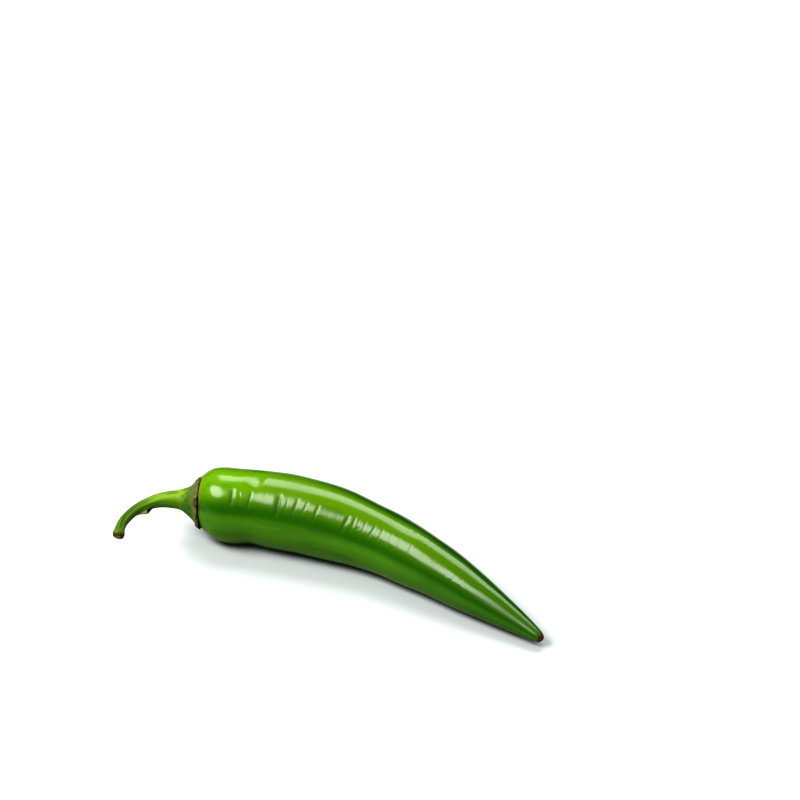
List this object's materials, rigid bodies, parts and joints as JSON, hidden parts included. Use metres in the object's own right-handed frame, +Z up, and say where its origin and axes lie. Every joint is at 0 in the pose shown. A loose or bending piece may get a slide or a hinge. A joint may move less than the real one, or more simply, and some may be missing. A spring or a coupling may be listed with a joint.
{
  "type": "green chilli pepper",
  "caption": "Long curved green chilli pepper with a tapering pod, a flared calyx and a hooked stem, lying on its side.",
  "frame": {"origin": "centre of the underside of the bounding box, on the surface that the chilli lies on", "axes": "+X along the chilli towards the pod's tip, +Y towards the side that the pod bulges to, +Z up from the surface it lies on"},
  "size_m": [0.1371, 0.0461, 0.0226],
  "materials": {
    "skin": "smooth, waxy and glossy, mid green, with a small dry brown tip",
    "calyx": "satin, fleshy dark green with a dry tan rim",
    "stem": "satin, ridged mid green with a brown swollen scar at its end"
  },
  "bodies": {
    "root": {"pod": "skin", "calyx": "calyx", "stem": "stem"}
  },
  "joints": []
}
